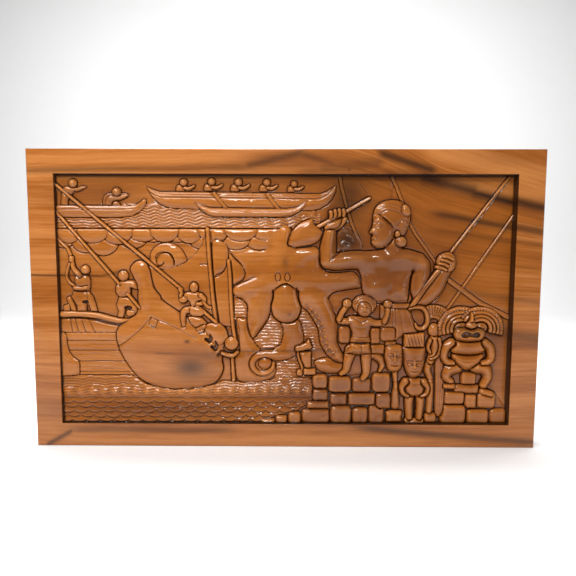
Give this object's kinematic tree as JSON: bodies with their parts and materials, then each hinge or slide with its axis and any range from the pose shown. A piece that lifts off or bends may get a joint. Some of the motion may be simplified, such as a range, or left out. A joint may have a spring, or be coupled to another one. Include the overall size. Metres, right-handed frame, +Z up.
{
  "type": "carved wall panel",
  "caption": "Carved hardwood wall panel: plain flat border around a sunk storyboard relief with canoes, a sea beast, an octopus, a giant, idols and stone blocks",
  "frame": {"origin": "centre of the flat back face, where it meets the wall", "axes": "+X to the viewer's right along the long side, +Y out of the back into the wall, +Z up along the short side; the carved face looks along -Y"},
  "size_m": [0.914, 0.038, 0.538],
  "materials": {
    "wood": "varnished golden-brown hardwood with dark streaks, satin to glossy"
  },
  "bodies": {
    "root": {"carved_panel": "wood"}
  },
  "joints": []
}
